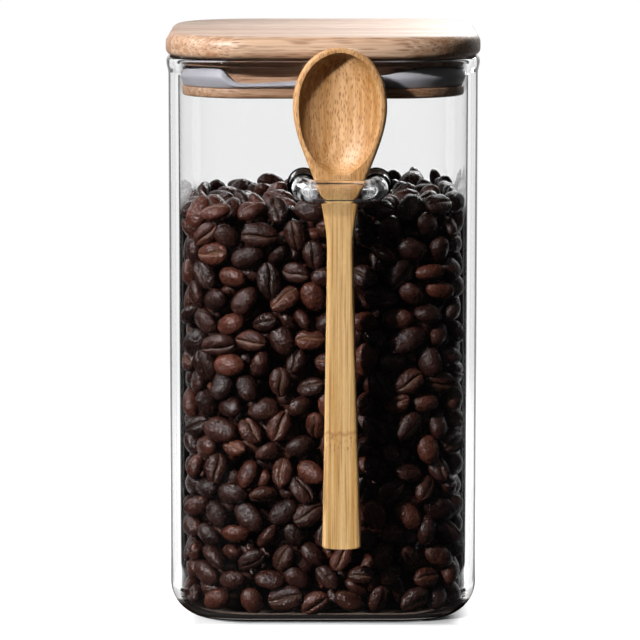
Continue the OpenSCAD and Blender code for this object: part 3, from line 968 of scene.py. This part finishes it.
def outer_beans():
    """Middles, outward ways and lengthwise ways of the outer beans, laid as in the CAD filling."""
    thick = BEAN[2]
    edge_ring = 3 * CROWN_RINGS
    around = 6 * edge_ring
    step = 4 * side_length() / around
    laid = []
    for m in range(0, edge_ring, 3):
        for k in range(0, max(1, 6 * m), 3):
            spot = at_wall(4 * side_length() * k / max(1, 6 * m), 0, 0.6 * thick)[0] * m / edge_ring
            spot[:2] += 3 * step * np.array([swing(m, k, 5), swing(m, k, 6)])
            spot[2] = fill_top(spot[0]) - thick * (0.55 + 0.35 * chance(m, k, 7))
            turn = math.radians(180 * chance(m, k, 8))
            laid.append((spot, (0.0, 0.0, 1.0), (math.cos(turn), math.sin(turn), 0.0)))
    low = FILL_LOW + FILL_HEEL
    for r in range(0, 3 * WALL_RINGS, 3):
        for k in range(0, around, 3):
            u = (k + r / 2 + 3 * swing(r, k, 1)) * step
            depth = thick * (0.53 + 0.2 * chance(r, k, 3))
            high = fill_top(at_wall(u, 0, 0)[0][0]) - 0.6 * thick
            share = (r / 3 + (swing(r, k, 2) if r else 0.0)) / (WALL_RINGS - 1)
            spot, angle = at_wall(u, high + (low - high) * share, depth)
            out = np.array([math.cos(angle), math.sin(angle), 0.0])
            side = np.array([-out[1], out[0], 0.0])
            if r == 0:
                out = out * math.cos(math.radians(40)) + [0, 0, math.sin(math.radians(40))]
            turn = math.radians(180 * chance(r, k, 4))
            laid.append((spot, out, math.cos(turn) * side + math.sin(turn) * np.cross(out, side)))
    return [np.array(part, float) for part in zip(*laid)]


def first_places(rng, share):
    """Homes of the outer beans, and the middles and turns that all beans start with.

    As many beans lie further in, between the outer ones and the core, as fill share of it.
    """
    length, width, thick = BEAN
    homes, outward, lengthwise = outer_beans()
    across = np.cross(outward, lengthwise)
    flip = np.where(rng.random(len(homes)) < FACE_OUT, -1.0, 1.0)[:, None]
    laid = np.stack([lengthwise, across * flip, outward * flip], -1)
    laid = turn_matrices(rng.normal(0.0, 0.42, (len(homes), 3))) @ laid
    lowest, highest = [-FILL_HALF, -FILL_HALF, FILL_LOW], [FILL_HALF, FILL_HALF, FILL_TOP]
    tries = rng.uniform(lowest, highest, (60000, 3))
    gap, _ = wall_gap(tries)
    free = (gap > 1.25 * thick) & (tries[:, 2] < fill_top(tries[:, 0]) - 1.25 * thick)
    in_core = (np.abs(tries[:, :2]) < CORE_HALF - 2).all(1)
    in_core &= (tries[:, 2] > CORE_LOW + 2) & (tries[:, 2] < CORE_HIGH - 2)
    free &= ~in_core
    room = free.mean() * (2 * FILL_HALF) ** 2 * (FILL_TOP - FILL_LOW)
    inner = int(room * share / (0.52 * length * width * thick))
    centres = np.vstack([homes, tries[free][:inner]])
    return homes, centres, np.concatenate([laid, random_turns(rng, inner)])


def push_apart(balls, radius, first, second):
    """How far the balls of beans that are near each other push one another."""
    way = balls[first][:, :, None, :] - balls[second][:, None, :, :]
    apart = np.sqrt((way**2).sum(-1)) + 1e-9
    over = (radius[first] + radius[second])[:, None, None] - apart
    shove = way * (np.maximum(over, 0) / apart * 0.5)[..., None]
    push = np.zeros_like(balls)
    np.add.at(push, first, shove.sum(2))
    np.add.at(push, second, -shove.sum(1))
    hits = np.zeros(balls.shape[:2])
    np.add.at(hits, first, (over > 0).sum(2))
    np.add.at(hits, second, (over > 0).sum(1))
    return push / np.maximum(1, np.sqrt(hits))[..., None]


def push_inside(middles, reach):
    """How far the glass, the core and the filling's level push balls of radius reach."""
    gap, away = wall_gap(middles)
    side, up = np.abs(middles[:, :2]), middles[:, 2:]
    depth = np.hstack([CORE_HALF - side, CORE_HIGH - up, up - CORE_LOW])
    deep = np.maximum(depth.min(1) + reach * 0.3, 0)
    nearest = depth.argmin(1)
    out = np.zeros_like(middles)
    for k in range(2):
        out[:, k] = np.where(middles[:, k] < 0, -deep, deep) * (nearest == k)
    out[:, 2] = deep * (nearest == 2) - deep * (nearest == 3)
    out[:, 2] -= np.maximum(middles[:, 2] + reach - fill_top(middles[:, 0]) - 1.5, 0)
    return np.maximum(reach - gap, 0)[:, None] * away + 0.5 * out


def settle_beans(rounds, seed=11, share=0.60):
    """Packs beans between the glass and a dark core by growing them while they push apart.

    The outer ones start at the CAD filling's places, and a light pull keeps them there. Each
    bean is a cross of four balls as thick as the bean. The seed makes it repeatable.
    """
    rng = np.random.default_rng(seed)
    length, width, thick = BEAN
    ball = thick / 2
    arms = np.array([[length / 2 - ball, 0, 0], [ball - length / 2, 0, 0]])
    arms = np.vstack([arms, [[0, width / 2 - ball, 0], [0, ball - width / 2, 0]]])
    spread = (arms**2).sum()
    homes, centres, turns = first_places(rng, share)
    outer = len(homes)
    size = rng.normal(0.91, 0.07, len(centres)).clip(0.76, 1.06)
    for k in range(rounds):
        grow = min(1.0, 0.6 + 0.45 * k / (0.55 * rounds))
        if k % 8 == 0:
            first, second = near_pairs(centres, length * 1.2)
        offsets = np.einsum("nij,kj->nki", turns, arms) * (size * grow)[:, None, None]
        balls = centres[:, None, :] + offsets
        radius = ball * size * grow
        push = push_apart(balls, radius, first, second)
        push += push_inside(balls.reshape(-1, 3), np.repeat(radius, 4)).reshape(push.shape)
        push[:outer] += (0.05 * (homes - centres[:outer]))[:, None, :]
        spin = np.cross(offsets, push).sum(1) / (spread * (size * grow) ** 2)[:, None]
        centres = centres + push.mean(1) * 1.3
        turns = turn_matrices(spin * 1.1) @ turns
    return centres, turns, size


def bean_shape(rng):
    """Points and crease weights of a bean with a domed back and an S-shaped crease in its face."""
    length, width, thick = BEAN
    half_l = length / 2 * rng.uniform(0.95, 1.05)
    half_w = width / 2 * rng.uniform(0.94, 1.06)
    top = thick * rng.uniform(0.56, 0.62)
    low = thick * rng.uniform(0.36, 0.41)
    bend = rng.uniform(-0.5, 0.5)
    taper = rng.uniform(-0.10, 0.10)
    sway = rng.uniform(0.25, 0.6) * rng.choice([-1, 1])
    deep = rng.uniform(0.9, 1.4)
    lumps = rng.uniform(0, 2 * np.pi, 4)
    points = [(-half_l, 0.0, 0.0)]
    weights = [0.0]
    for i in range(1, BEAN_ROWS + 1):
        t = -math.cos(math.pi * i / (BEAN_ROWS + 1))
        x = half_l * t
        swell = math.sqrt(max(0.0, 1 - abs(t) ** 2.15))
        w = half_w * swell * (1 + taper * t)
        middle = bend * 0.35 * (1 - t * t)
        for k in range(BEAN_DOME):
            a = math.pi * (k + 0.5) / BEAN_DOME
            points.append((x, w * math.cos(a) + middle, top * swell * math.sin(a) ** 0.92))
            weights.append(0.0)
        line = sway * math.sin(math.pi * t * 0.95)
        reach = smooth((1 - abs(t)) / 0.16)
        for u in BEAN_FACE:
            y = u * w * 0.985 + line * (1 - abs(u)) * 0.9
            base = -low * swell * (1 - abs(u) ** 3.2) ** 0.55 if abs(u) < 1 else 0.0
            lip = 0.16 * math.exp(-(((abs(u) - 0.2) / 0.1) ** 2)) * swell
            groove = deep * math.exp(-((u / 0.085) ** 2)) * reach * swell**0.5
            points.append((x, y + middle, base - lip + groove))
            weights.append(math.exp(-((u / 0.13) ** 2)) * reach)
    points = np.array([*points, (half_l, 0.0, 0.0)])
    wave = 0.018 * np.sin(1.1 * points[:, 0] + lumps[0]) * np.sin(1.6 * points[:, 1] + lumps[1])
    wave += 0.014 * np.sin(2.3 * points[:, 0] + lumps[2]) * np.sin(2.2 * points[:, 2] + lumps[3])
    points *= (1 + wave)[:, None]
    points[:, 2] -= (top - low) * 0.5
    return points, np.array([*weights, 0.0])


def bean_triangles():
    per = BEAN_DOME + len(BEAN_FACE)
    last = BEAN_ROWS * per + 1
    faces = []
    for k in range(per):
        m = (k + 1) % per
        faces += [(0, 1 + m, 1 + k), (last, last - per + k, last - per + m)]
    for a, m, c, d in tube_faces(BEAN_ROWS, per, first=1):
        faces += [(a, m, c), (a, c, d)]
    return np.array(faces)


def build_beans(material, pieces=8, kinds=12):
    """The beans of the shell, joined into a few pieces by height. None reaches into the glass."""
    centres, turns, size = settle_beans(240)
    rng = np.random.default_rng(29)
    shapes = [bean_shape(rng) for _ in range(kinds)]
    triangles, per = bean_triangles(), len(shapes[0][0])
    pick = rng.integers(0, kinds, len(centres))
    tone = rng.beta(2.2, 2.6, len(centres))
    order = np.argsort(centres[:, 2])
    for number, group in enumerate(np.array_split(order, pieces)):
        verts = []
        for b in group:
            points = shapes[pick[b]][0] * size[b] @ turns[b].T + centres[b]
            gap, away = wall_gap(points)
            verts.append(points + np.maximum(-gap, 0)[:, None] * away)
        faces = [triangles + per * n for n in range(len(group))]
        name = f"coffee_beans_{number + 1}"
        thing = add_mesh(name, np.vstack(verts), np.vstack(faces).tolist(), material)
        float_attribute(thing, "crease", np.concatenate([shapes[pick[b]][1] for b in group]))
        float_attribute(thing, "tone", np.repeat(tone[group], per))
        place(thing, "jar", "coffee_beans")


def build_core(material):
    """The coffee behind the modelled beans, a lumpy mass in the darkest tone: painted shade in the
    gaps.
    """
    half = CORE_HALF - 0.5
    around, steps = 72, 40
    verts = []
    for r in range(steps + 1):
        t = r / steps
        z = CORE_LOW + (CORE_HIGH - CORE_LOW) * t
        cap = min(1.0, 6.0 * math.sin(math.pi * t)) if 0 < t < 1 else 0.0
        shrink = 0.75 + 0.25 * math.sqrt(cap)
        for k in range(around):
            a = 2 * math.pi * k / around
            reach = half / (abs(math.cos(a)) ** 5 + abs(math.sin(a)) ** 5) ** 0.2 * shrink
            lump = 0.9 * math.sin(9 * a + 0.5 * z) * math.sin(0.62 * z + 3 * a)
            verts.append(((reach + lump) * math.cos(a), (reach + lump) * math.sin(a), z))
    thing = add_mesh("coffee_core", verts, capped_tube(steps + 1, around), material)
    float_attribute(thing, "crease", 0.0)
    # the darkest roast tone, as painted shade deep between the beans
    float_attribute(thing, "tone", 0.0)
    place(thing, "jar", "coffee_beans")


# ------------ studio


def build_floor():
    corners = [(FLOOR_HALF * x, FLOOR_HALF * y, 0) for x, y in QUARTERS]
    mesh = bpy.data.meshes.new("floor")
    mesh.from_pydata(corners, [], [[0, 1, 2, 3]])
    mesh.materials.append(floor_material("pale_floor", grey=0.8, glow=0.88))
    floor = add_object("floor", mesh)


def build_world():
    """White to look at. Mirrored, it is a white backdrop behind the object in a dim room."""
    world = bpy.data.worlds.new("studio")
    bpy.context.scene.world = world
    tree = Tree(world)
    ahead = tree.add("SeparateXYZ", {0: tree.add("TexCoord")["Generated"]})[1]
    backdrop = tree.linear(tree.above(ahead, 0.48, 0.65), 0.95, 0.05)
    free, mirrored = ray_kinds(tree)
    shown = tree.highest(free, tree.times(mirrored, backdrop))
    white = tree.add("Background", {"Color": (1, 1, 1, 1), "Strength": shown})[0]
    soft = tree.add("Background", {"Color": (1, 1, 1, 1), "Strength": 0.07})[0]
    diffuse = tree.add("LightPath")["Is Diffuse Ray"]
    tree.add("OutputWorld", {"Surface": tree.mix_shader(diffuse, white, soft)})


def add_lamp(name, at, target, size, power, spread=180.0):
    data = bpy.data.lights.new(name, "AREA")
    data.shape = "RECTANGLE"
    data.size, data.size_y = size
    data.energy = power
    data.spread = math.radians(spread)
    lamp = add_object(name, data)
    lamp.location = at
    way = Vector(target) - Vector(at)
    lamp.rotation_euler = way.to_track_quat("-Z", "Y").to_euler()


def build_lights():
    add_lamp("key_left", (-0.76, -0.80, 0.72), (-0.030, -0.05, 0.1), (0.11, 0.5), 0.34, 5.1)
    add_lamp("soft_left", (-0.85, 0.10, 0.80), (0.0, 0.0, 0.12), (0.8, 0.6), 2.2)
    add_lamp("back_right", (0.32, 0.95, 0.62), (0.03, 0.0, 0.19), (0.5, 0.3), 7.0)


def build_camera():
    data = bpy.data.cameras.new("camera")
    data.sensor_width = 36.0
    data.lens = 222.4
    data.shift_y = 0.0273
    data.clip_start = 0.05
    data.clip_end = 50.0
    camera = add_object("camera", data)
    camera.location = (-0.00101, -1.3, 0.27122)
    camera.rotation_euler = (math.radians(90 - 8.02), 0.0, 0.0)
    bpy.context.scene.camera = camera


def main():
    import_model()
    lid_bamboo = bamboo_material(
        "laminated_bamboo",
        colours=((0.68, 0.50, 0.36), (0.39, 0.20, 0.105), (0.20, 0.09, 0.045)),
        grain=0,
        lines=(12.0, 2200.0, 0.45),
        flecks=(110.0, 1350.0, 0.8),
        rough=0.36,
    )
    spoon_bamboo = bamboo_material(
        "spoon_bamboo",
        colours=((0.80, 0.56, 0.285), (0.50, 0.265, 0.07), (0.27, 0.105, 0.025)),
        grain=2,
        lines=(32.0, 1900.0, 0.75),
        flecks=(440.0, 1650.0, 0.75),
        rough=0.42,
        carved=(0.90, 0.74, 0.74),
    )
    coffee = coffee_material()
    build_jar(glass_material("clear_glass", 0.00006, painted_coffee_reflection))
    build_loop(glass_material("worked_glass", 0.0006, painted_loop_streaks))
    build_lid(lid_bamboo)
    build_seal(silicone_material())
    build_spoon(spoon_bamboo)
    build_beans(coffee)
    build_core(coffee)
    build_floor()
    build_world()
    build_lights()
    build_camera()
    bpy.context.scene.view_settings.view_transform = "Standard"


main()
